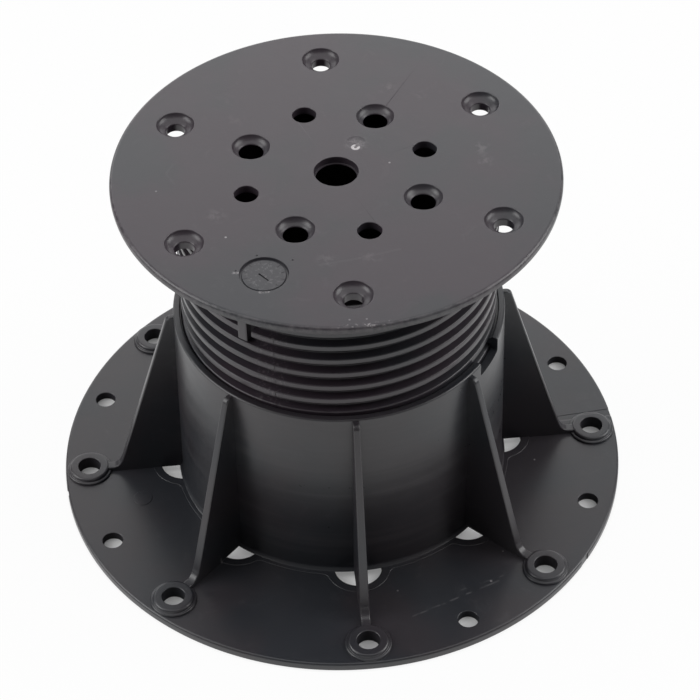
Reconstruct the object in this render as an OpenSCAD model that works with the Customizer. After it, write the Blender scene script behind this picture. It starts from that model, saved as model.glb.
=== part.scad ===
// Adjustable pedestal for a raised floor: a ribbed base with an internally threaded tube,
// and a screw head whose round plate carries the floor. Millimetres, +Z up, the origin at the
// centre of the underside of the base flange.

/* [Base flange] */
// Diameter of the base flange
flange_d = 200; // [196:1:230]
// Thickness of the base flange
flange_t = 3.2; // [2.8:0.1:4]
// Chamfer along both edges of the flange rim
flange_chamfer = 0.5; // [0.2:0.1:0.8]
// Distance from the flange rim to the circle of the eyelets and the plain holes
fixing_edge = 8.7; // [8.6:0.1:10]
// Diameter of the hole in each eyelet
eyelet_hole_d = 7.8; // [5:0.2:8.6]
// Height of an eyelet above the flange
eyelet_h = 2; // [1.2:0.1:2.4]
// Diameter of the plain holes between the eyelets
plain_hole_d = 7; // [5:0.2:8.6]

/* [Base tube] */
// Height of the tube rim above the floor
rim_z = 76.5; // [70:0.5:80]
// Wall of the tube at its rim
tube_wall = 2.4; // [2.2:0.1:3]
// Draft of the mould: how much the radius of the tube grows from its rim to its foot
tube_draft = 0.8; // [0.4:0.1:1.2]
// Height of the threaded collar inside the tube
collar_h = 19; // [14:1:24]
// Angle of the middle of the rim notch
notch_angle = -32; // [-36:1:-28]
// Angle that the rim notch spans
notch_span = 13.8; // [8:0.2:16]
// Depth of the rim notch
notch_depth = 5.5; // [3:0.5:8]

/* [Ribs] */
// Number of ribs, each with an eyelet at its foot
rib_count = 8; // [6:1:8]
// Thickness of a rib at its foot
rib_t = 3.2; // [2.4:0.1:4]
// Thickness of a rib at its top, thinner by the draft of the mould
rib_top_t = 2.25; // [1.8:0.05:2.6]
// Width of the flat at the top of a rib, outside the tube
rib_flat = 2.6; // [2:0.1:4]
// Distance from the end of a rib's slope to the centre of its eyelet
rib_foot_gap = 11.1; // [10:0.1:14]
// Diameter of the drain hole in the flange at the root of each rib
drain_d = 17.6; // [12:0.2:18]

/* [Screw thread] */
// Rise of the head in one turn
pitch = 6; // [5.5:0.1:6.5]
// Diameter over the thread crests of the head
crest_d = 108; // [107:0.1:108.2]
// Depth of the head's thread
thread_depth = 2.8; // [2:0.1:3]
// Gap between the flanks that carry the load
bearing_gap = 0.15; // [0.1:0.05:0.3]
// Axial play of the thread on top of the bearing gap
thread_play = 0.45; // [0.3:0.05:0.6]
// Radial gap between crest and groove
radial_gap = 0.4; // [0.3:0.05:0.5]

/* [Head] */
// Height of the top of the plate above the floor, as set
set_height = 135.3; // [130:0.1:140]
// Diameter of the head plate
plate_d = 149; // [146:0.5:160]
// Thickness of the head plate
plate_t = 3; // [2.8:0.1:4]
// Width of the sloping band around the top of the plate
plate_bevel_w = 2; // [1:0.1:3]
// Drop of that band at the edge of the plate
plate_bevel_h = 0.5; // [0.2:0.1:0.8]
// Length of the threaded stem below the plate
stem_l = 86; // [76:1:90]
// Wall of the stem, under the thread
stem_wall = 2.5; // [2:0.1:4]
// Length of the stop bar that hangs from the plate over the thread
stop_l = 30.6; // [24:0.2:34]
// Width of the stop bar
stop_w = 3.6; // [2.5:0.1:5]
// Angle of the stop bar around the stem
stop_angle = -130.6; // [-140:0.2:-120]

/* [Plate holes] */
// Angle of the first countersunk hole of the inner circle
head_turn = 59.6; // [0:0.1:90]
// Diameter of the centre hole
centre_hole_d = 14.6; // [12:0.2:16]
// Diameter of the inner circle of holes
inner_pcd = 62.4; // [58:0.2:66]
// Diameter of the holes on the inner circle
inner_hole_d = 7.9; // [6:0.1:8.4]
// Diameter of the outer circle of holes
outer_pcd = 118.8; // [117.6:0.2:120]
// Diameter of the holes on the outer circle
outer_hole_d = 6.2; // [5:0.1:7]
// Diameter of a countersink at the top of the plate
sink_d = 12.4; // [11:0.1:13]
// Full angle of a countersink's cone
sink_angle = 95; // [90:1:110]
// Diameter of the boss under each hole of the outer circle
boss_d = 10.4; // [9:0.1:11]
// Length of that boss below the plate
boss_h = 2.6; // [1:0.1:3]

/* [Hidden] */
$fn = 96;
over = 1;              // cutters run past what they cut by this much
base_grey = "#43454b";
head_grey = "#5b5758";

flange_r = flange_d / 2;
fixing_r = flange_r - fixing_edge;
eyelet_r = 7.15;
eyelet_z = flange_t + eyelet_h;
eyelet_step_r = 8.2;
eyelet_step_z = flange_t + 0.5;
bare_place = 5;        // the half pitch that has no plain hole

drain_lip = 2;         // the tube and the ribs cross the drain holes at this height
pad_drain_r = drain_d / 2 + 2.4;
pad_z = flange_t + 0.4;
pad_drain_z = pad_z - 0.1;
arch_w = 7;            // pointed gap in the tube wall over each drain hole
arch_z = 9.5;

crest_r = crest_d / 2;
root_r = crest_r - thread_depth;
crest_w = pitch * 0.367;
flank_run = 0.2143;    // axial run of one flank for each millimetre of depth
ridge_z = 108.38;      // height of the middle of one crest at angle 0
thread_steps = 48;     // flat steps in one turn
groove_r = crest_r + radial_gap;
tube_bore_r = groove_r + 0.2;
tube_top_r = tube_bore_r + tube_wall;
tube_foot_r = tube_top_r + tube_draft;
drain_at_r = tube_foot_r - 0.6;
pad_r = tube_foot_r + 2.4;     // low pad around the foot of the tube and the drain holes
rim_chamfer = 0.4;
rib_top_r = tube_top_r + rib_flat;
rib_top_z = rim_z - 0.7;
rib_foot_r = fixing_r - rib_foot_gap;
bridge_z = eyelet_z - 0.3;     // top of the short bridge from a rib to its eyelet
bridge_end_r = fixing_r - eyelet_r + 1;
lead_in = 0.6;         // plain bore between the collar and the rim
collar_top = rim_z - lead_in;
collar_r = groove_r + 1.6;

plate_r = plate_d / 2;
plate_z = set_height - plate_t;
stem_z = plate_z - stem_l;
stem_bore_r = root_r - stem_wall;
nick_w = 1.8;          // break in one crest beside the stop bar
nick_h = pitch * 0.6;
centre_lip_d = centre_hole_d - 0.8;
centre_lip_h = 0.5;    // thin lip that narrows the centre hole at the bottom of the plate

function on_wheel(r, a, z) = [r * cos(a), r * sin(a), z];

function flank_width(r) = crest_w + 2 * (crest_r - r) * flank_run;

// Copies of a shape on a circle, all turned to face the axis
module around(count, r, first = 0) {
    for (i = [0 : count - 1])
        rotate(first + i * 360 / count)
            translate([r, 0, 0])
                children();
}

// A solid screw about Z: the thread bulges from r_in to r_out, w_in wide at its root and
// w_out at its crest, with the middle of one bulge at height mid where the angle is 0.
// It covers low to high with at least one turn to spare, and its ends are cut off elsewhere.
module screw(r_in, r_out, w_in, w_out, mid, low, high) {
    form = [[r_in, -w_in / 2], [r_out, -w_out / 2], [r_out, w_out / 2], [r_in, w_in / 2]];
    n = len(form);
    first = floor((low - mid) / pitch) - 1;
    turns = ceil((high - low) / pitch) + 2;
    last = turns * thread_steps;
    function height(i) = mid + pitch * (first + i / thread_steps);
    function corner(i, j) = on_wheel(form[j][0], 360 * i / thread_steps, height(i) + form[j][1]);
    function at(i, j) = j == n ? at(i + thread_steps, 0)
        : i <= last ? i * n + j
        : (last + 1) * n + i - last - 1;
    points = [
        for (i = [0 : last]) for (j = [0 : n - 1]) corner(i, j),
        for (i = [last + 1 : last + thread_steps]) corner(i, 0),
        [0, 0, height(thread_steps / 2)],
        [0, 0, height(last + thread_steps / 2)]
    ];
    bottom = len(points) - 2;
    top = len(points) - 1;
    faces = [
        for (i = [0 : last - 1]) for (j = [0 : n - 1]) [at(i, j), at(i, j + 1), at(i + 1, j + 1)],
        for (i = [0 : last - 1]) for (j = [0 : n - 1]) [at(i, j), at(i + 1, j + 1), at(i + 1, j)],
        for (i = [0 : thread_steps - 1]) [bottom, at(i, 0), at(i + 1, 0)],
        for (i = [0 : thread_steps - 1]) [top, at(last + i + 1, 0), at(last + i, 0)],
        [bottom, for (j = [n : -1 : 0]) at(0, j)],
        [top, for (j = [0 : n]) at(last, j)]
    ];
    polyhedron(points, faces);
}

// ---------- base ----------

module flange_disc() {
    rotate_extrude()
        polygon([
            [0, 0],
            [flange_r - flange_chamfer, 0],
            [flange_r, flange_chamfer],
            [flange_r, flange_t - flange_chamfer],
            [flange_r - flange_chamfer, flange_t],
            [0, flange_t]
        ]);
}

module foot_pad() {
    cylinder(h = pad_z, r = pad_r);
    around(rib_count, drain_at_r)
        cylinder(h = pad_drain_z, r = pad_drain_r);
}

module eyelet() {
    cylinder(h = eyelet_step_z, r = eyelet_step_r);
    cylinder(h = eyelet_z, r = eyelet_r);
}

module drill(d) {
    translate([0, 0, -over])
        cylinder(h = eyelet_z + 2 * over, d = d);
}

module flange() {
    difference() {
        union() {
            flange_disc();
            foot_pad();
            around(rib_count, fixing_r)
                eyelet();
        }
        around(rib_count, fixing_r)
            drill(eyelet_hole_d);
        around(rib_count, drain_at_r)
            drill(drain_d);
        for (i = [0 : rib_count - 1])
            if (i != bare_place)
                rotate((i + 0.5) * 360 / rib_count)
                    translate([fixing_r, 0, 0])
                        drill(plain_hole_d);
    }
}

// Gap with a pointed top in the tube wall, over a drain hole
module foot_arch() {
    translate([tube_foot_r + over, 0, 0])
        rotate([90, 0, -90])
            linear_extrude(tube_foot_r - tube_bore_r + 2 * over)
                polygon([[-arch_w / 2, 0], [arch_w / 2, 0], [0, arch_z]]);
}

module rim_notch() {
    reach = tube_foot_r + 10;
    from = notch_angle - notch_span / 2;
    to = notch_angle + notch_span / 2;
    translate([0, 0, rim_z - notch_depth])
        linear_extrude(notch_depth + over)
            polygon([
                [0, 0],
                [reach * cos(from), reach * sin(from)],
                [reach * cos(to), reach * sin(to)]
            ]);
}

module tube_wall() {
    rotate_extrude()
        polygon([
            [tube_bore_r, drain_lip],
            [tube_foot_r, drain_lip],
            [tube_top_r, rim_z - rim_chamfer],
            [tube_top_r - rim_chamfer, rim_z],
            [tube_bore_r, rim_z]
        ]);
}

// The collar that the head screws into: its thread is the void that the head's thread runs in
module collar() {
    inner_r = root_r + radial_gap;
    difference() {
        translate([0, 0, collar_top - collar_h])
            cylinder(h = collar_h, r = collar_r);
        screw(
            inner_r, groove_r,
            flank_width(inner_r) + bearing_gap + thread_play,
            flank_width(groove_r) + bearing_gap + thread_play,
            ridge_z + (thread_play - bearing_gap) / 2,
            collar_top - collar_h, collar_top
        );
    }
}

// Side of a rib: its slope runs out through a hollow curve into the bridge to the eyelet
module rib_side() {
    polygon([
        [tube_bore_r + 0.8, drain_lip],
        [tube_bore_r + 0.8, rib_top_z],
        [rib_top_r, rib_top_z],
        [rib_foot_r - 1.1, bridge_z + 3.5],
        [rib_foot_r - 0.2, bridge_z + 1.7],
        [rib_foot_r + 0.9, bridge_z + 0.6],
        [rib_foot_r + 2.3, bridge_z],
        [bridge_end_r, bridge_z],
        [bridge_end_r, drain_lip]
    ]);
}

// End of a rib, which gets thinner towards its top
module rib_end() {
    polygon([
        [-rib_t / 2, drain_lip],
        [rib_t / 2, drain_lip],
        [rib_top_t / 2, rib_top_z],
        [-rib_top_t / 2, rib_top_z]
    ]);
}

module rib() {
    intersection() {
        rotate([90, 0, 0])
            linear_extrude(2 * rib_t, center = true)
                rib_side();
        rotate([90, 0, 90])
            linear_extrude(bridge_end_r + over)
                rib_end();
    }
}

module base() {
    color(base_grey) {
        flange();
        difference() {
            union() {
                tube_wall();
                collar();
            }
            rim_notch();
            around(rib_count, 0)
                foot_arch();
        }
        around(rib_count, 0)
            rib();
    }
}

// ---------- head ----------

module countersunk(hole_d) {
    deep = (sink_d - hole_d) / 2 / tan(sink_angle / 2);
    drill_through(hole_d);
    translate([0, 0, set_height - deep])
        cylinder(h = deep, d1 = hole_d, d2 = sink_d);
    translate([0, 0, set_height])
        cylinder(h = over, d = sink_d);
}

module drill_through(d) {
    translate([0, 0, plate_z - boss_h - over])
        cylinder(h = plate_t + boss_h + 2 * over, d = d);
}

module boss() {
    translate([0, 0, plate_z - boss_h])
        cylinder(h = boss_h + plate_t / 2, d = boss_d);
}

module plate() {
    difference() {
        union() {
            rotate_extrude()
                polygon([
                    [0, plate_z],
                    [plate_r, plate_z],
                    [plate_r, set_height - plate_bevel_h],
                    [plate_r - plate_bevel_w, set_height],
                    [0, set_height]
                ]);
            around(6, outer_pcd / 2, head_turn + 30)
                boss();
        }
        drill_through(centre_lip_d);
        translate([0, 0, plate_z + centre_lip_h])
            cylinder(h = plate_t - centre_lip_h + over, d = centre_hole_d);
        around(4, inner_pcd / 2, head_turn)
            countersunk(inner_hole_d);
        around(4, inner_pcd / 2, head_turn + 45)
            drill_through(inner_hole_d);
        around(6, outer_pcd / 2, head_turn + 30)
            countersunk(outer_hole_d);
    }
}

module stem() {
    length = stem_l + plate_t / 2;
    difference() {
        intersection() {
            screw(
                root_r, crest_r, flank_width(root_r), crest_w,
                ridge_z, stem_z, plate_z + plate_t / 2
            );
            translate([-plate_r, -plate_r, stem_z])
                cube([2 * plate_r, 2 * plate_r, length]);
        }
        translate([0, 0, stem_z - over])
            cylinder(h = length + 2 * over, r = stem_bore_r);
        crest_nick();
    }
}

// The crest beside the stop bar breaks off just short of it
module crest_nick() {
    from = stop_w / 2;
    rotate(stop_angle)
        translate([root_r + 0.2, from, ridge_z + pitch * (stop_angle / 360) - nick_h / 2])
            cube([thread_depth + over, nick_w, nick_h]);
}

module stop_bar() {
    inside = stem_wall / 2;
    rotate(stop_angle)
        translate([root_r - inside, -stop_w / 2, plate_z - stop_l])
            cube([thread_depth + inside, stop_w, stop_l + plate_t / 2]);
}

module head() {
    color(head_grey) {
        plate();
        stem();
        stop_bar();
    }
}

base();
head();
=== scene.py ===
import math

import bpy
from mathutils import Matrix, Vector


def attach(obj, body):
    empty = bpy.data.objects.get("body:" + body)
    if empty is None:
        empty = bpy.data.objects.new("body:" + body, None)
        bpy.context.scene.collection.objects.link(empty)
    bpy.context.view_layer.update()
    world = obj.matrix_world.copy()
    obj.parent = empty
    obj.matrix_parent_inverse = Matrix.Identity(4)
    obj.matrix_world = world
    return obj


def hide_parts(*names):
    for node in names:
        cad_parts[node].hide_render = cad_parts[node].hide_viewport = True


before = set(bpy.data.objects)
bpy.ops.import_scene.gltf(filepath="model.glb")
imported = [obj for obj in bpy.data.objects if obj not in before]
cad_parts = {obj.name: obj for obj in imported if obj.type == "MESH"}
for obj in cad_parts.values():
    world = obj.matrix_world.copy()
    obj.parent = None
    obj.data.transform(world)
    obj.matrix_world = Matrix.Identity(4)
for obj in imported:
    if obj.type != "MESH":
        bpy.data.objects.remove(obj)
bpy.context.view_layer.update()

# ---------------------------------------------------------------- sizes, in millimetres

FLANGE_R, FLANGE_T = 100.0, 3.2
PAD_R, PAD_Z = 60.2, 3.39
DRAIN_AT, DRAIN_R, LOBE_R = 57.2, 8.2, 11.2
TUBE_FOOT_R, TUBE_TOP_R, BORE_R, RIM_Z = 57.8, 57.0, 54.6, 76.5
LIP_Z = 3.3                      # tube and ribs cross the drain holes at this height
RIB_HALF, RIB_ROOT_R, RIB_TOP_R, RIB_TOP_Z = 1.62, 55.4, 59.6, 75.8
FIXING_R, EYELET_HOLE_R, PLAIN_HOLE_R = 91.3, 3.9, 3.5
EYELET_Z = 5.2
COLLAR_TOP, COLLAR_H = 75.9, 19.0
COLLAR_IN_R, COLLAR_OUT_R = 49, 55.3
NOTCH_ANGLE, NOTCH_SPAN, NOTCH_DEPTH = -32.0, 13.8, 5.5

EVERY_RIB = [45 * k for k in range(8)]
BARE_PLACE = 5                   # the place between two ribs that has no plain hole
PLAIN_PLACES = [45 * k + 22.5 for k in range(8) if k != BARE_PLACE]
FLAT_PLACES, FLAT_DEPTH, FLAT_W = (-174.7, -37.8, 4.6), 0.28, 4.4
BUTTON_ANGLE, BUTTON_AT = -167.5, 74.7
SEAM_ANGLE, SEAM_FROM = 5.3, 74

PITCH, RIDGE_Z = 6.0, 107.98     # rise of one turn, height of one crest at angle 0
CREST_R, ROOT_R, GROOVE_R = 54.0, 51.2, 54.4
CREST_W, FLANK_RUN = 2.2, 0.2143
PLATE_R, PLATE_T, SET_Z = 74.5, 3.0, 135.3
PLATE_Z = SET_Z - PLATE_T
STEM_LOW, STEM_BORE_R = 46.3, 48.7
STOP_ANGLE, STOP_L, STOP_W = -130.6, 30.6, 3.6
HEAD_TURN, INNER_AT, OUTER_AT = 59.6, 31.2, 59.4
INNER_R, OUTER_R, PLAIN_R, SINK_R = 4.1, 3.25, 4.0, 6.25
BOSS_R, BOSS_H = 5.2, 2.6
CENTRE_R, CENTRE_LOW_R = 7.3, 6.9
WITNESS_ANGLE = -118.1

# marks in the plate's face: places across it from the axis
DATE_AT = (-27.43, -46.87)
POINTER_AT, POINTER_TURN = (-27.64, -47.75), -52.6
GATE_AT = (7.87, 13.88)
STUB_AT, STUB_GAP_ANGLE = (7.56, 11.53), 50
DENTS = (                        # place across, place along, radius
    (-36.14, -44.49, 0.55), (-29.02, -37.99, 0.45), (-17.92, -41.46, 0.5), (-28.01, -54.21, 0.5),
)

ROUND = 192                      # flats in one turn of the large round walls
THREAD_ROUND = 128               # flats in one turn of the thread


# ---------------------------------------------------------------- hand tools

def clear():
    """Object mode with nothing selected."""
    if bpy.context.object and bpy.context.object.mode != "OBJECT":
        bpy.ops.object.mode_set(mode="OBJECT")
    bpy.ops.object.select_all(action="DESELECT")


def pick(*pieces):
    """Selects these pieces alone, the first as the active one."""
    clear()
    for piece in pieces:
        piece.select_set(True)
    bpy.context.view_layer.objects.active = pieces[0]


def edit(piece, kind="VERT", where=None):
    """Edit mode on a piece, with the points, edges or faces selected whose place passes."""
    pick(piece)
    mesh = piece.data
    for part in (*mesh.vertices, *mesh.edges, *mesh.polygons):
        part.select = False
    if where:
        corners = mesh.vertices
        parts = {"VERT": mesh.vertices, "EDGE": mesh.edges, "FACE": mesh.polygons}[kind]
        for part in parts:
            if kind == "VERT":
                part.select = where(part.co)
            else:
                part.select = where([corners[i].co for i in part.vertices])
    bpy.ops.object.mode_set(mode="EDIT")
    bpy.ops.mesh.select_mode(type=kind)


def done():
    bpy.ops.object.mode_set(mode="OBJECT")


def drawn(name, corners):
    """A flat face, drawn from one point by extruding it from corner to corner."""
    clear()
    bpy.ops.mesh.primitive_plane_add(size=1)
    piece = bpy.context.object
    piece.name = piece.data.name = name
    bpy.ops.object.mode_set(mode="EDIT")
    bpy.ops.mesh.select_mode(type="VERT")
    bpy.ops.mesh.select_all(action="SELECT")
    bpy.ops.mesh.merge(type="CENTER")
    bpy.ops.transform.translate(value=corners[0])
    for start, end in zip(corners, corners[1:]):
        step = Vector(end) - Vector(start)
        bpy.ops.mesh.extrude_vertices_move(TRANSFORM_OT_translate={"value": step})
    bpy.ops.mesh.select_all(action="SELECT")
    bpy.ops.mesh.edge_face_add()
    done()
    return piece


def soften(piece, corner, size, steps=3):
    """Rounds one corner of a drawn face."""
    edit(piece, "VERT", lambda p: (p - Vector(corner)).length < 1e-3)
    bpy.ops.mesh.bevel(offset=size, segments=steps, affect="VERTICES", clamp_overlap=False)
    done()


def turned(name, outline, steps=ROUND):
    """A round piece spun from its half section. The outline's rows are radius, height and
    how far the corner is rounded along its sides."""
    piece = drawn(name, [(r, 0, z) for r, z, *_ in outline])
    for r, z, *size in outline:
        if size:
            soften(piece, (r, 0, z), *size)
    edit(piece)
    bpy.ops.mesh.select_all(action="SELECT")
    bpy.ops.mesh.delete(type="ONLY_FACE")
    done()
    edit(piece, "EDGE", lambda ends: all(abs(p.x) < 1e-4 for p in ends))
    bpy.ops.mesh.delete(type="EDGE")
    bpy.ops.mesh.select_all(action="SELECT")
    bpy.ops.mesh.spin(steps=steps, angle=math.tau, center=(0, 0, 0), axis=(0, 0, 1))
    close(piece)
    return piece


def close(piece, gap=1e-3):
    """Merges doubled points and turns every face outwards."""
    edit(piece)
    bpy.ops.mesh.select_all(action="SELECT")
    bpy.ops.mesh.remove_doubles(threshold=gap)
    bpy.ops.mesh.normals_make_consistent(inside=False)
    done()


def prism(name, corners, push):
    """A drawn face extruded to a solid."""
    piece = drawn(name, corners)
    edit(piece, "FACE", lambda ends: True)
    bpy.ops.mesh.extrude_region_move(TRANSFORM_OT_translate={"value": push})
    close(piece)
    return piece


def block(name, low, high):
    """A square block between two corners."""
    clear()
    size = Vector(high) - Vector(low)
    bpy.ops.mesh.primitive_cube_add(size=1, location=(Vector(high) + Vector(low)) / 2, scale=size)
    piece = bpy.context.object
    piece.name = piece.data.name = name
    bpy.ops.object.transform_apply()
    return piece


def rounded(piece, size, where, steps=3):
    """Rounds the edges whose two ends pass."""
    edit(piece, "EDGE", lambda ends: where(*ends))
    bpy.ops.mesh.bevel(offset=size, segments=steps, affect="EDGES", clamp_overlap=False)
    done()
    return piece


def placed(piece, angle=0.0, radius=0.0):
    """A copy with its own mesh, moved out to a radius and turned about the axis."""
    copy = piece.copy()
    copy.data = piece.data.copy()
    bpy.context.scene.collection.objects.link(copy)
    turn = Matrix.Rotation(math.radians(angle), 4, "Z")
    copy.matrix_world = turn @ Matrix.Translation((radius, 0, 0))
    pick(copy)
    bpy.ops.object.transform_apply()
    return copy


def placed_once(piece, angle=0.0, radius=0.0):
    """The piece moved out to a radius and turned about the axis."""
    copy = placed(piece, angle, radius)
    bpy.data.objects.remove(piece)
    return copy


def ring_of(piece, angles, radius=0.0):
    """Copies of a piece at these angles, joined as one, and the piece itself gone."""
    copies = [placed(piece, a, radius) for a in angles]
    bpy.data.objects.remove(piece)
    pick(*copies)
    bpy.ops.object.join()
    return copies[0]


def fused(body, tool, how):
    """Joins a tool to a body or cuts it out, and the tool is gone."""
    pick(body)
    step = body.modifiers.new("fit", "BOOLEAN")
    step.operation = how
    step.solver = "EXACT"
    step.object = tool
    bpy.ops.object.modifier_apply(modifier=step.name)
    bpy.data.objects.remove(tool)
    return body


def added(body, tool):
    return fused(body, tool, "UNION")


def cut(body, tool):
    return fused(body, tool, "DIFFERENCE")


def drill(name, radius, low, high, soft=0.3, steps=64):
    """A cutter for a hole between two faces, flared at both mouths to leave rounded edges."""
    tilt, run, past = math.radians(68), 0.5, 1.0

    def mouth(face, way):
        flare = []
        for i in range(4):
            a = tilt * i / 3
            flare.append((radius + soft * (1 - math.cos(a)), face - way * soft * (1 - math.sin(a))))
        r, z = flare[-1]
        flare.append((r + run * math.sin(tilt), z + way * run * math.cos(tilt)))
        flare.append((r + run * math.sin(tilt), face + way * past))
        return flare

    lower, upper = mouth(low, -1), mouth(high, 1)
    outline = [(0, low - past), *reversed(lower), *upper, (0, high + past)]
    return turned(name, outline, steps)


def thread_width(r):
    """Width of the thread's section at a radius."""
    return CREST_W + 2 * (CREST_R - r) * FLANK_RUN


def screw(name, r_in, r_out, extra, lift, low, high):
    """A solid right-handed screw between two heights. Extra widens the thread and lift
    raises it."""
    wide, narrow = thread_width(r_in) + extra, thread_width(r_out) + extra
    hidden = r_in - 4            # the section's back, taken off before it is wound
    form = drawn(name, [
        (hidden, 0, -PITCH / 2), (r_in, 0, -PITCH / 2), (r_in, 0, -wide / 2),
        (r_out, 0, -narrow / 2), (r_out, 0, narrow / 2), (r_in, 0, wide / 2),
        (r_in, 0, PITCH / 2), (hidden, 0, PITCH / 2),
    ])
    for side in (-1, 1):
        soften(form, (r_out, 0, side * narrow / 2), 0.38)
        soften(form, (r_in, 0, side * wide / 2), 0.3, 2)
    edit(form)
    bpy.ops.mesh.select_all(action="SELECT")
    bpy.ops.mesh.delete(type="ONLY_FACE")
    done()
    edit(form, "VERT", lambda p: p.x < r_in - 1)
    bpy.ops.mesh.delete(type="VERT")
    bpy.ops.mesh.select_all(action="SELECT")
    middle = RIDGE_Z + lift
    first = math.floor((low - middle) / PITCH) - 1
    bpy.ops.transform.translate(value=(0, 0, middle + first * PITCH))
    done()
    pick(form)
    wind = form.modifiers.new("wind", "SCREW")
    wind.axis = "Z"
    wind.angle = math.tau
    wind.screw_offset = PITCH
    wind.iterations = math.ceil((high - low) / PITCH) + 3
    wind.steps = wind.render_steps = THREAD_ROUND
    wind.use_merge_vertices = False
    bpy.ops.object.modifier_apply(modifier=wind.name)
    edit(form)
    bpy.ops.mesh.select_all(action="SELECT")
    bpy.ops.mesh.remove_doubles(threshold=1e-3)
    for height, way in ((low, 1), (high, -1)):
        bpy.ops.mesh.select_all(action="SELECT")
        bpy.ops.mesh.bisect(
            plane_co=(0, 0, height), plane_no=(0, 0, way), use_fill=True, clear_inner=True,
        )
    done()
    close(form)
    return form


# ---------------------------------------------------------------- base

def arc(centre, radius, start, turn, steps):
    """Points along an arc with both its ends."""
    angles = [start + turn * i / steps for i in range(steps + 1)]
    return [centre + radius * Vector((math.cos(a), math.sin(a), 0)) for a in angles]


def pad_outline():
    """Corners of the low pad: the round foot of the tube with a lobe round each drain hole,
    and a hollow fillet on both sides of every lobe."""
    fillet = 3.0
    far, reach = PAD_R + fillet, LOBE_R + fillet
    phi = math.acos((DRAIN_AT ** 2 + far ** 2 - reach ** 2) / (2 * DRAIN_AT * far))
    centre = Vector((far * math.cos(phi), far * math.sin(phi), 0))
    lobe = Vector((DRAIN_AT, 0, 0))
    to_lobe = (lobe - centre).normalized()
    psi = math.atan2(-to_lobe.y, -to_lobe.x)
    start = math.atan2(to_lobe.y, to_lobe.x)
    turn = (phi + math.pi - start) % math.tau
    turn = turn - math.tau if turn > math.pi else turn
    half = arc(lobe, LOBE_R, 0, psi, 9)
    half += arc(centre, fillet, start, turn, 5)[1:]
    half += arc(Vector((0, 0, 0)), PAD_R, phi, math.pi / 8 - phi, 5)[1:]
    corners = []
    for k in range(8):
        turned_by = Matrix.Rotation(k * math.pi / 4, 3, "Z")
        lower = [Vector((p.x, -p.y, 0)) for p in reversed(half[1:-1])]
        corners += [turned_by @ p for p in lower + half]
    return [(p.x, p.y, 1.0) for p in corners]


def tube_r(z):
    """Outer radius of the tapered tube at a height."""
    return TUBE_FOOT_R + (TUBE_TOP_R - TUBE_FOOT_R) * (z - LIP_Z) / (RIM_Z - LIP_Z)


def make_flange():
    """The round flange with its pad, eyelets, holes and moulding marks."""
    flange = turned("base_flange", [
        (0, 0), (FLANGE_R, 0, 0.5), (FLANGE_R, FLANGE_T, 0.9, 5), (0, FLANGE_T),
    ], 256)
    pad = prism("pad", pad_outline(), (0, 0, PAD_Z - 1.0))
    rounded(pad, 0.17, lambda a, b: min(a.z, b.z) > PAD_Z - 1e-3, 3)
    added(flange, pad)
    eyelet = turned("eyelet", [
        (0, 1), (8.0, 1), (8.0, 4.05, 0.55, 4), (7.1, 4.05, 0.25, 3),
        (6.95, EYELET_Z, 0.8, 5), (0, EYELET_Z),
    ], 64)
    added(flange, ring_of(eyelet, EVERY_RIB, FIXING_R))
    cut(flange, ring_of(drill("drain", DRAIN_R, 0, PAD_Z, 0.35, 96), EVERY_RIB, DRAIN_AT))
    cut(flange, ring_of(drill("plain", PLAIN_HOLE_R, 0, FLANGE_T, 0.3), PLAIN_PLACES, FIXING_R))
    button = turned("button", [(0, 1), (3.35, 1), (3.35, 3.38, 0.16, 3), (0, 3.34)], 48)
    added(flange, placed_once(button, BUTTON_ANGLE, BUTTON_AT))
    for angle in FLAT_PLACES:
        low = (FLANGE_R - FLAT_DEPTH, -FLAT_W / 2, -1)
        flat = block("flat", low, (FLANGE_R + 1, FLAT_W / 2, 5))
        cut(flange, placed_once(flat, angle))
    seam = block("seam", (SEAM_FROM, -0.13, FLANGE_T - 0.14), (FLANGE_R + 1, 0.13, FLANGE_T + 1))
    cut(flange, placed_once(seam, SEAM_ANGLE))
    return flange


def make_tube():
    """The tube with its foot fillet, its threaded collar and the notch in its rim."""
    tube = turned("tube", [
        (BORE_R, LIP_Z), (TUBE_FOOT_R + 1.1, LIP_Z), (TUBE_FOOT_R + 0.55, 3.8),
        (TUBE_FOOT_R + 0.2, 4.5), (tube_r(5.4), 5.4),
        (TUBE_TOP_R, RIM_Z, 0.7, 5), (BORE_R, RIM_Z, 0.4),
    ])
    collar_low = COLLAR_TOP - COLLAR_H
    collar = turned("collar", [
        (COLLAR_IN_R, collar_low), (COLLAR_OUT_R, collar_low),
        (COLLAR_OUT_R, COLLAR_TOP), (COLLAR_IN_R, COLLAR_TOP),
    ])
    play, lift = 0.6, 0.15       # room beside the head's thread, most of it above
    cut(collar, screw(
        "groove", ROOT_R + 0.4, GROOVE_R, play, lift, collar_low - 2, COLLAR_TOP + 2,
    ))
    added(tube, collar)
    a, b = NOTCH_ANGLE - NOTCH_SPAN / 2, NOTCH_ANGLE + NOTCH_SPAN / 2
    floor = RIM_Z - NOTCH_DEPTH
    wedge = prism("notch", [
        (r * math.cos(math.radians(t)), r * math.sin(math.radians(t)), floor)
        for r, t in ((44, a), (66, a), (66, b), (44, b))
    ], (0, 0, NOTCH_DEPTH + 3))

    def notch_corner(p, q):
        return max(p.z, q.z) < floor + 1e-3 and abs(p.xy.length - q.xy.length) > 5

    cut(tube, rounded(wedge, 0.5, notch_corner))
    return tube


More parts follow.
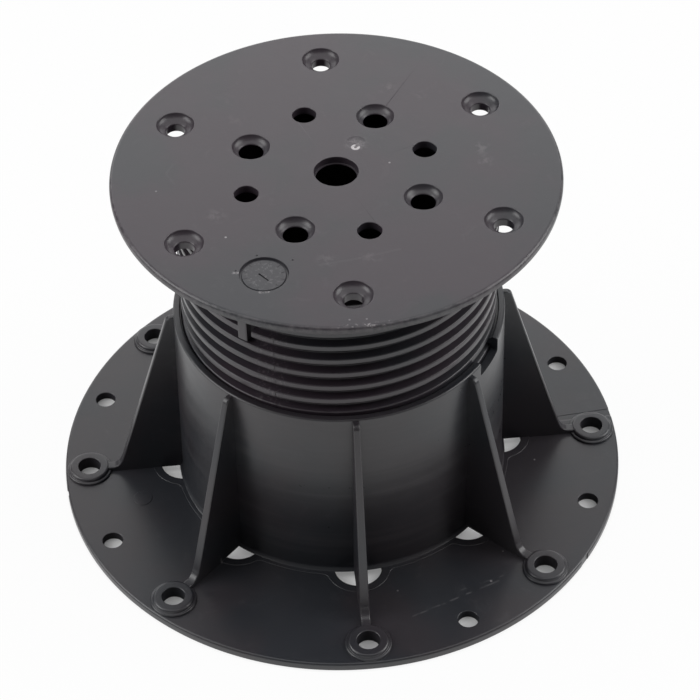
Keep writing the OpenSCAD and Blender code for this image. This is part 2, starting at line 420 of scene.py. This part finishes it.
def make_rib():
    """One rib: a web that narrows upwards, over its drain hole and out to its eyelet."""
    rib = prism("rib", [(r, -RIB_HALF, z) for r, z in (
        (RIB_ROOT_R, LIP_Z), (66.4, LIP_Z), (67.0, 2.0), (85.2, 2.0), (85.2, 4.9), (82.6, 4.9),
        (81.2, 5.45), (80.1, 6.6), (79.2, 8.4), (RIB_TOP_R, RIB_TOP_Z), (RIB_ROOT_R, RIB_TOP_Z),
    )], (0, 2 * RIB_HALF, 0))
    edit(rib, "VERT", lambda p: p.z > 70)
    bpy.ops.transform.resize(value=(1, 0.7, 1), center_override=(0, 0, 0))
    done()

    def shoulder(a, b):
        return a.y * b.y < 0 and min(a.x, b.x) > 59 and min(a.z, b.z) > 70

    def outer_edge(a, b):
        return a.y * b.y > 0 and max(a.x, b.x) > 56 and a.z + b.z > 8

    rounded(rib, 1.7, shoulder, 5)
    rounded(rib, 0.5, outer_edge, 4)
    return rib


def make_base():
    base = make_flange()
    added(base, make_tube())
    added(base, ring_of(make_rib(), EVERY_RIB))
    cut(base, ring_of(drill("eyelet_hole", EYELET_HOLE_R, 0, EYELET_Z, 0.35), EVERY_RIB, FIXING_R))
    return base


# ---------------------------------------------------------------- head

def sink(hole_r, low):
    """A cutter for a dished hole: a steep wall under the rim that curves into a shallow cone,
    and a bore with a rounded mouth."""
    return turned("sink", [
        (0, low - 1), (hole_r + 0.35, low - 1), (hole_r + 0.35, low - 0.1), (hole_r, low + 0.25),
        (hole_r, SET_Z - 2.45, 0.3, 3), (SINK_R - 0.55, SET_Z - 1.5, 0.9, 6),
        (SINK_R, SET_Z - 0.32), (SINK_R + 0.05, SET_Z - 0.16), (SINK_R + 0.16, SET_Z - 0.04),
        (SINK_R + 0.45, SET_Z + 0.05), (SINK_R + 0.45, SET_Z + 1), (0, SET_Z + 1),
    ], 96)


def make_plate():
    """The round plate with the bosses under it and all its holes."""
    plate = turned("head_plate", [
        (0, PLATE_Z), (PLATE_R - 0.15, PLATE_Z, 0.35), (PLATE_R - 0.15, PLATE_Z + 1.1, 0.1, 1),
        (PLATE_R, PLATE_Z + 1.2), (PLATE_R, SET_Z, 1.2, 7), (0, SET_Z),
    ], 256)
    boss = turned("boss", [
        (0, PLATE_Z - BOSS_H), (BOSS_R - 0.1, PLATE_Z - BOSS_H, 0.3),
        (BOSS_R + 0.05, PLATE_Z + 1), (0, PLATE_Z + 1),
    ], 64)
    outer = [HEAD_TURN + 30 + 60 * k for k in range(6)]
    inner = [HEAD_TURN + 90 * k for k in range(4)]
    added(plate, ring_of(boss, outer, OUTER_AT))
    cut(plate, ring_of(sink(OUTER_R, PLATE_Z - BOSS_H), outer, OUTER_AT))
    cut(plate, ring_of(sink(INNER_R, PLATE_Z), inner, INNER_AT))
    plain = drill("plain", PLAIN_R, PLATE_Z, SET_Z, 0.25)
    cut(plate, ring_of(plain, [a + 45 for a in inner], INNER_AT))
    cut(plate, turned("centre", [
        (0, PLATE_Z - 1), (CENTRE_LOW_R, PLATE_Z - 1), (CENTRE_LOW_R, PLATE_Z + 0.5, 0.1, 2),
        (CENTRE_R, PLATE_Z + 0.5), (CENTRE_R, SET_Z - 0.25), (7.33, SET_Z - 0.12),
        (7.45, SET_Z + 0.02), (7.6, SET_Z + 0.06), (7.6, SET_Z + 1), (0, SET_Z + 1),
    ], 96))
    return plate


def make_stem():
    """The hollow stem with the coarse thread on it."""
    stem = screw("stem", ROOT_R, CREST_R, 0.0, 0.0, STEM_LOW, PLATE_Z + 1.2)
    bore = turned("stem_bore", [
        (0, STEM_LOW - 1), (STEM_BORE_R + 0.4, STEM_LOW - 1), (STEM_BORE_R + 0.4, STEM_LOW),
        (STEM_BORE_R, STEM_LOW + 0.5), (STEM_BORE_R, PLATE_Z - 0.6),
        (STEM_BORE_R - 0.6, PLATE_Z + 0.02), (STEM_BORE_R - 0.6, PLATE_Z + 3), (0, PLATE_Z + 3),
    ], 128)
    cut(stem, bore)
    return stem


def make_bar():
    """The stop bar that hangs from the plate over the thread."""
    low = (ROOT_R - 1.2, -STOP_W / 2, PLATE_Z - STOP_L)
    bar = block("bar", low, (CREST_R + 0.06, STOP_W / 2, PLATE_Z + 1.0))
    rounded(bar, 0.45, lambda a, b: min(a.x, b.x) > CREST_R)
    return placed_once(bar, STOP_ANGLE)


def make_nick():
    """A cutter for the gap in the crest beside the stop bar."""
    middle, half = RIDGE_Z + PITCH * STOP_ANGLE / 360, 1.8
    low = (ROOT_R + 0.25, STOP_W / 2 - 0.2, middle - half)
    nick = block("nick", low, (CREST_R + 2, STOP_W / 2 + 1.8, middle + half))
    rounded(nick, 0.35, lambda a, b: max(a.y, b.y) > STOP_W / 2 and abs(a.z - b.z) > 1, 2)
    return placed_once(nick, STOP_ANGLE)


def make_date_ring():
    """A cutter for a shallow round recess with a deeper groove along its wall."""
    return turned("date", [
        (0, -0.5), (6.95, -0.5), (7.2, -0.85), (7.75, -0.85), (7.9, -0.14), (7.96, -0.03),
        (8.2, 0.05), (8.2, 1.0), (0, 1.0),
    ], 96)


def at_plate(piece, x, y, turn=0.0):
    """The piece turned and moved to a place on the plate's face."""
    turned_by = Matrix.Rotation(math.radians(turn), 4, "Z")
    piece.matrix_world = Matrix.Translation((x, y, SET_Z)) @ turned_by
    pick(piece)
    bpy.ops.object.transform_apply()
    return piece


def mark_plate(plate):
    """The date recess with its ticks and pointer, the gate mark with its stub, and dents."""
    cut(plate, at_plate(make_date_ring(), *DATE_AT))
    tick = block("tick", (5.6, -0.13, -0.8), (6.8, 0.13, -0.42))
    added(plate, at_plate(ring_of(tick, [30 * k + 8 for k in range(12)]), *DATE_AT))
    slot = block("slot", (-2.3, -0.28, -0.95), (2.3, 0.28, 0.3))
    cut(plate, at_plate(slot, *POINTER_AT, POINTER_TURN))
    gate = turned("gate", [
        (0, -0.13), (2.4, -0.11), (3.2, -0.04), (3.7, 0.03), (4.2, 0.1), (4.2, 1), (0, 1),
    ], 64)
    cut(plate, at_plate(gate, *GATE_AT))
    stub = turned("stub", [
        (0.5, -0.8), (1.4, -0.8), (1.35, -0.12), (1.1, 0.0), (0.68, -0.03), (0.5, -0.3),
    ], 32)
    slit = block("slit", (0.1, -0.4, -0.9), (2, 0.4, 0.8))
    cut(stub, placed_once(slit, STUB_GAP_ANGLE))
    added(plate, at_plate(stub, *STUB_AT))
    for x, y, r in DENTS:
        dent = turned("dent", [(0, -0.25), (r * 0.6, -0.2), (r, 0.05), (r, 1), (0, 1)], 16)
        cut(plate, at_plate(dent, x, y))
    return plate


def make_head():
    head = mark_plate(make_plate())
    stem = make_stem()
    cut(stem, make_nick())
    witness = block("witness", (CREST_R - 0.22, -0.16, STEM_LOW - 1), (CREST_R + 1, 0.16, PLATE_Z))
    cut(stem, placed_once(witness, WITNESS_ANGLE))
    added(stem, make_bar())
    added(head, stem)
    return head


# ---------------------------------------------------------------- finishing

def finished(piece, name, node, body, material):
    """Turns a piece from millimetres to metres, shades it and hands it to its body."""
    close(piece, 2e-4)
    edit(piece)
    bpy.ops.mesh.select_all(action="SELECT")
    bpy.ops.transform.resize(value=(0.001, 0.001, 0.001), center_override=(0, 0, 0))
    done()
    piece.name = piece.data.name = name
    pick(piece)
    bpy.ops.object.shade_smooth_by_angle(angle=math.radians(36))
    even = piece.modifiers.new("even", "WEIGHTED_NORMAL")
    even.keep_sharp = True
    bpy.ops.object.modifier_apply(modifier=even.name)
    piece.data.materials.clear()
    piece.data.materials.append(material)
    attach(piece, body)
    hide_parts(node)


# ---------------------------------------------------------------- materials

DUST_AND_HIGHLIGHT = (0.55, 0.52, 0.53, 1)     # colour of light dust, flecks and whitened edges, and of the painted highlight along the plate's rim
SATIN = 0.32                     # roughness of both mouldings


class Wire:
    """A socket of a material's node that can be used in sums."""

    def __init__(self, tree, socket=None):
        self.tree, self.socket = tree, socket

    def make(self, kind, settings=None, values=None, out=0):
        """A new node: its type, its settings, what its sockets get, and which output is used."""
        node = self.tree.nodes.new("ShaderNode" + kind)
        for name, value in (settings or {}).items():
            setattr(node, name, value)
        for name, value in (values or {}).items():
            if isinstance(value, Wire):
                self.tree.links.new(value.socket, node.inputs[name])
            else:
                node.inputs[name].default_value = value
        return Wire(self.tree, node.outputs[out])

    def also(self, name):
        """Another output of the same node."""
        return Wire(self.tree, self.socket.node.outputs[name])

    def sum(self, how, a, b=0.0):
        """One step of arithmetic."""
        return self.make("Math", {"operation": how}, {0: a, 1: b})

    def __add__(self, other):
        return self.sum("ADD", self, other)

    __radd__ = __add__

    def __sub__(self, other):
        return self.sum("SUBTRACT", self, other)

    def __rsub__(self, other):
        return self.sum("SUBTRACT", other, self)

    def __mul__(self, other):
        return self.sum("MULTIPLY", self, other)

    __rmul__ = __mul__

    def __pow__(self, other):
        return self.sum("POWER", self, other)

    def between(self, low, high):
        """0 up to low, 1 from high, and smooth between them."""
        smooth = {"interpolation_type": "SMOOTHSTEP"}
        return self.make("MapRange", smooth, {"Value": self, "From Min": low, "From Max": high})

    def size(self):
        """The value without its sign."""
        return self.sum("ABSOLUTE", self)

    def larger(self, other):
        return self.sum("MAXIMUM", self, other)

    def smaller(self, other):
        return self.sum("MINIMUM", self, other)


def emptied(thing):
    """A wire for the nodes of a material or world, with none there yet."""
    thing.use_nodes = True
    thing.node_tree.nodes.clear()
    return Wire(thing.node_tree)


def new_material(name):
    """A material with no nodes yet, and a wire to draw them with."""
    material = bpy.data.materials.new(name)
    return material, emptied(material)


def lead_out(finish, kind="Material"):
    """Leads a finish to the output of its material or world."""
    node = finish.tree.nodes.new("ShaderNodeOutput" + kind)
    finish.tree.links.new(finish.socket, node.inputs["Surface"])


def noise(wire, place, scale, detail, roughness, distortion=0.0):
    """Cloudy noise, at about this many clouds to the metre."""
    return wire.make("TexNoise", None, {
        "Vector": place, "Scale": scale, "Detail": detail, "Roughness": roughness,
        "Distortion": distortion,
    })


def blend(wire, share, under, over):
    """A share of one colour over another. A Mix node has its colours at sockets 6 and 7, and
    the result at output 2."""
    return wire.make("Mix", {"data_type": "RGBA"}, {0: share, 6: under, 7: over}, 2)


def moulded_plastic(name, cool, warm, roughness, marks):
    """Satin moulded plastic: a cloudy colour, fine grain, and its marks, each as its share of a
    light colour, its change of roughness and its height. The marks are those that moulding and
    handling left, and on the head also a painted highlight along the plate's rim."""
    material, wire = new_material(name)
    place = wire.make("TexCoord", out="Object")
    cloud = noise(wire, place, 24.0, 3.0, 0.5)
    wisps = noise(wire, place, 90.0, 4.0, 0.7, 1.6)
    grain = noise(wire, place, 1500.0, 2.0, 0.5)
    orange_peel = noise(wire, place, 330.0, 2.0, 0.5)
    shade = blend(wire, cloud.between(0.38, 0.60), (*cool, 1), (*warm, 1))
    dust_and_highlight = 0.03 * wisps.between(0.55, 0.85)
    rough = roughness + 0.06 * (cloud - 0.5) + 0.12 * (wisps - 0.5) + 0.05 * (grain - 0.5)
    height = 0.6 * orange_peel + 0.4 * grain
    for light, gloss, bump in marks(wire, place):
        dust_and_highlight = dust_and_highlight + light
        rough = rough + gloss
        height = height + bump
    shade = blend(wire, dust_and_highlight, shade, DUST_AND_HIGHLIGHT)
    relief = wire.make("Bump", None, {"Strength": 0.22, "Distance": 0.00012, "Height": height})
    finish = wire.make("BsdfPrincipled", None, {
        "Base Color": shade, "Roughness": rough, "Normal": relief, "IOR": 1.6,
    })
    lead_out(finish)
    return material


def axes(wire, place):
    """The three coordinates of a place."""
    x = wire.make("SeparateXYZ", None, {"Vector": place})
    return x, x.also("Y"), x.also("Z")


def streak(x, y, start, stop, width):
    """1 along a straight scratch between two points, given in millimetres, and 0 beside it."""
    (ax, ay), (bx, by) = [[v / 1000 for v in p] for p in (start, stop)]
    run = math.hypot(bx - ax, by - ay)
    ux, uy = (bx - ax) / run, (by - ay) / run
    px, py = x - ax, y - ay
    along = px * ux + py * uy
    near = along.larger(0.0).smaller(run)
    dx, dy = px - near * ux, py - near * uy
    gap = (dx * dx + dy * dy) ** 0.5
    return 1 - gap.between(width * 0.0003, width * 0.001)


def spot(x, y, at, size, soft=0.4):
    """1 in the middle of a round spot of this diameter, in millimetres, and 0 outside it."""
    dx, dy = x - at[0] / 1000, y - at[1] / 1000
    gap = (dx * dx + dy * dy) ** 0.5
    return 1 - gap.between(size * soft * 0.0005, size * 0.0005)


def base_marks(wire, place):
    """Moulding bands on the tube, and scratches, the seam and flecks on the flange. Marks are
    placed in millimetres, radii and heights are in metres."""
    x, y, z = axes(wire, place)
    low = 1 - z.between(0.0045, 0.006)
    from_axis = (x * x + y * y) ** 0.5
    past_wall = from_axis.between(0.0584, 0.0588)
    wall = from_axis.between(0.0562, 0.0566) * (1 - past_wall) * z.between(0.006, 0.012)
    flattened = wire.make("Mapping", None, {"Vector": place, "Scale": (9.0, 9.0, 300.0)})
    bands = noise(wire, flattened, 1.0, 2.0, 0.5)
    yield 0.03 * wall * bands.between(0.45, 0.75), 0.16 * wall * (bands - 0.5), 0.35 * wall * bands
    breaks = noise(wire, place, 260.0, 2.0, 0.6)
    scratch = streak(x, y, (16.4, -81.1), (47.6, -68.6), 0.5) * low * breaks.between(0.40, 0.62)
    yield 0.08 * scratch, 0.1 * scratch, -0.3 * scratch
    scratch = streak(x, y, (30.0, -72.6), (49.5, -66.4), 0.4) * low * breaks.between(0.45, 0.62)
    yield 0.05 * scratch, 0.1 * scratch, -0.2 * scratch
    side = streak(x, y, (80.1, 5.2), (99.6, 5.9), 0.5) * low
    yield 0.10 * side, 0.0, -0.6 * side
    for at, size, light in (
        ((12.45, -69.14), 0.9, 0.25), ((45.0, -68.4), 1.2, 0.3), ((-47.0, -49.5), 1.0, 0.35),
        ((51.0, -55.3), 0.9, 0.3), ((68.5, -13.1), 0.9, 0.3), ((-60.0, -62.0), 0.7, 0.25),
    ):
        fleck = spot(x, y, at, size) * low
        yield light * fleck, 0.1 * fleck, 0.5 * fleck


def head_marks(wire, place):
    """Flecks, blotches, scuffs, the torn gate and chips of the plate, and a painted highlight along
    its rim. Marks are placed in millimetres, radii and heights are in metres."""
    x, y, z = axes(wire, place)
    top = z.between(0.1345, 0.1350)
    blotch = noise(wire, place, 420.0, 3.0, 0.6)
    for at, size, light in (
        ((17.86, 2.38), 1.0, 0.45), ((-38.24, -28.18), 1.0, 0.55), ((-59.29, -3.21), 0.9, 0.3),
        ((-2.73, -70.63), 0.9, 0.3), ((2.59, -70.85), 0.9, 0.25),
    ):
        fleck = spot(x, y, at, size) * top
        yield light * fleck, 0.1 * fleck, 0.4 * fleck
    for at, size, light in (
        ((21.6, 41.2), 9.0, 0.10), ((31.6, 36.2), 7.0, 0.08), ((49.3, -0.4), 8.0, 0.12),
        ((49.0, 6.3), 9.0, 0.12), ((-40.6, -17.5), 10.0, 0.09), ((-7.0, -42.4), 10.0, 0.07),
        ((6.9, -43.1), 10.0, 0.07), ((8.07, 13.67), 10.5, 0.22), ((-31.0, 30.0), 9.0, 0.06),
    ):
        patch = spot(x, y, at, size, 0.05) * top * blotch.between(0.42, 0.68)
        yield light * patch, 0.14 * patch, 0.15 * patch
    for start, stop in (((-9.5, -44.5), (3.4, -42.7)), ((3.4, -42.7), (16.5, -40.0))):
        scuff = streak(x, y, start, stop, 0.7) * top
        yield 0.02 * scuff, 0.08 * scuff, -0.2 * scuff
    flecks = noise(wire, place, 900.0, 3.0, 0.65)
    ghost = spot(x, y, DATE_AT, 15.0, 0.7) * flecks.between(0.53, 0.68)
    yield 0.12 * ghost, 0.1 * ghost, 0.4 * ghost
    for start, stop in (((-29.3, -55.1), (-26.8, -55.1)), ((-37.1, -45.2), (-35.4, -45.4))):
        rub = streak(x, y, start, stop, 0.8) * top * flecks.between(0.40, 0.60)
        yield 0.32 * rub, 0.1 * rub, 0.3 * rub
    torn = spot(x, y, GATE_AT, 9.0, 0.1) * flecks.between(0.38, 0.66)
    yield 0.05 * torn, 0.12 * torn, 0.8 * torn
    dx, dy = x - STUB_AT[0] / 1000, y - STUB_AT[1] / 1000
    away = (dx * dx + dy * dy) ** 0.5
    whitened = away.between(0.0004, 0.0006) * (1 - away.between(0.0013, 0.0016)) * top
    whitened = whitened * (1 - spot(x, y, (STUB_AT[0] + 0.7, STUB_AT[1] + 0.8), 1.7, 0.6))
    yield 0.95 * whitened, 0.1 * whitened, 0.3 * whitened
    from_axis = (x * x + y * y) ** 0.5
    inner_side = from_axis.between(0.0722, 0.0735)
    outer_side = from_axis.between(0.0741, 0.0745)
    edge = inner_side * (1 - outer_side) * z.between(0.1340, 0.1350)
    front = 1 - (y + 0.071).size().between(0.002, 0.0045)
    chipped = front * x.between(-0.008, -0.004) * (1 - x.between(0.006, 0.012))
    chips = edge * chipped * flecks.between(0.55, 0.66)
    yield 0.6 * chips, 0.2 * chips, 0.6 * chips
    # Painted highlight: the side and rounded top edge of the plate's rim are made lighter, broken
    # up by noise.
    rim_side = from_axis.between(0.0734, 0.0738)
    painted_rim_highlight = rim_side * z.between(0.1325, 0.1335) * blotch.between(0.35, 0.65)
    yield 0.10 * painted_rim_highlight, 0.05 * painted_rim_highlight, 0.2 * painted_rim_highlight
    in_holes = z.between(0.1318, 0.1322) * (1 - z.between(0.1346, 0.1350))
    sunk = in_holes * (1 - from_axis.between(0.070, 0.072))
    yield 0.0, 0.05 * sunk, 0.4 * sunk


# ---------------------------------------------------------------- stage

def make_stage():
    """A white floor and surround. What the floor throws back on the object is dimmed, most of
    all under it. Under the object the floor glows faintly for the camera, more below the drain
    holes: painted light seen through the holes."""
    clear()
    bpy.ops.mesh.primitive_plane_add(size=6)
    floor = bpy.context.object
    floor.name = floor.data.name = "floor"
    material, wire = new_material("floor_white")
    place = wire.make("TexCoord", out="Object")
    away = wire.make("VectorMath", {"operation": "LENGTH"}, {0: place}, "Value")
    ray = wire.make("LightPath")
    seen = ray.also("Is Camera Ray").larger(ray.also("Is Transmission Ray"))
    mirrored = ray.also("Is Glossy Ray")
    open_floor = away.between(0.096, 0.101)
    drains = 1 - away.between(0.068, 0.074)
    bounced = ray.also("Is Diffuse Ray").larger(mirrored)
    paint = 0.85 - bounced * (0.70 - 0.27 * open_floor)
    matt = wire.make("BsdfDiffuse", None, {"Color": paint})
    glow = wire.make("Emission", None, {"Color": (1, 1, 1, 1), "Strength": 1.0})
    around = open_floor * (0.95 * seen + mirrored)
    # Painted light: under the object the floor glows faintly for the camera, more below the drain
    # holes, lifting the shade seen through the holes.
    under = (1 - open_floor) * seen * (0.06 + 0.14 * drains)
    share = around + under
    lead_out(wire.make("MixShader", None, {0: share, 1: matt, 2: glow}))
    floor.data.materials.append(material)

    world = bpy.data.worlds.new("studio")
    bpy.context.scene.world = world
    air = emptied(world)
    ray = air.make("LightPath")
    strength = 0.03 + 0.97 * ray.also("Is Camera Ray") + 0.15 * ray.also("Is Glossy Ray")
    sky = air.make("Background", None, {"Color": (1, 1, 1, 1), "Strength": strength})
    lead_out(sky, "World")


def lamp(name, place, aim, size, watts):
    """A soft rectangular lamp that looks at a point."""
    clear()
    bpy.ops.object.light_add(type="AREA", location=place)
    light = bpy.context.object
    light.name = name
    light.data.shape = "RECTANGLE"
    light.data.size, light.data.size_y = size
    light.data.energy = watts
    way = Vector(aim) - Vector(place)
    light.rotation_euler = way.to_track_quat("-Z", "Y").to_euler()


def make_camera():
    """The camera looks down from the front, turned by yaw, pitch and a slight roll."""
    yaw, pitch, roll = math.radians(-5.1037), math.pi / 2 - 0.7737829, -0.0171141
    clear()
    bpy.ops.object.camera_add(location=(-0.055798, -0.664481, 0.704755))
    camera = bpy.context.object
    camera.name = "camera"
    turn = (
        Matrix.Rotation(yaw, 3, "Z")
        @ Matrix.Rotation(pitch, 3, "X")
        @ Matrix.Rotation(roll, 3, "Z")
    )
    camera.rotation_euler = turn.to_euler()
    camera.data.sensor_width = 36
    camera.data.lens = 137.161
    bpy.context.scene.camera = camera


make_camera()
base_material = moulded_plastic(
    "base_charcoal", (0.026, 0.028, 0.034), (0.033, 0.029, 0.034), SATIN, base_marks)
head_material = moulded_plastic(
    "head_charcoal", (0.029, 0.029, 0.035), (0.039, 0.029, 0.038), SATIN, head_marks)
finished(make_base(), "base_moulding", "base", "base", base_material)
finished(make_head(), "head_moulding", "head", "head", head_material)
make_stage()
lamp("overhead", (0.0, 0.0, 1.6), (0, 0, 0.1), (2.4, 1.8), 12.0)
lamp("back", (0.1, 2.3, 1.42), (0.1, 0, 1.42), (3.4, 2.06), 37)
lamp("left", (-1.3, 0.0, 0.88), (0, 0, 0.08), (1.1, 0.9), 11.5)
lamp("right", (1.3, 0.0, 0.88), (0, 0, 0.08), (1.1, 0.9), 11.5)

bpy.context.scene.view_settings.view_transform = "Standard"
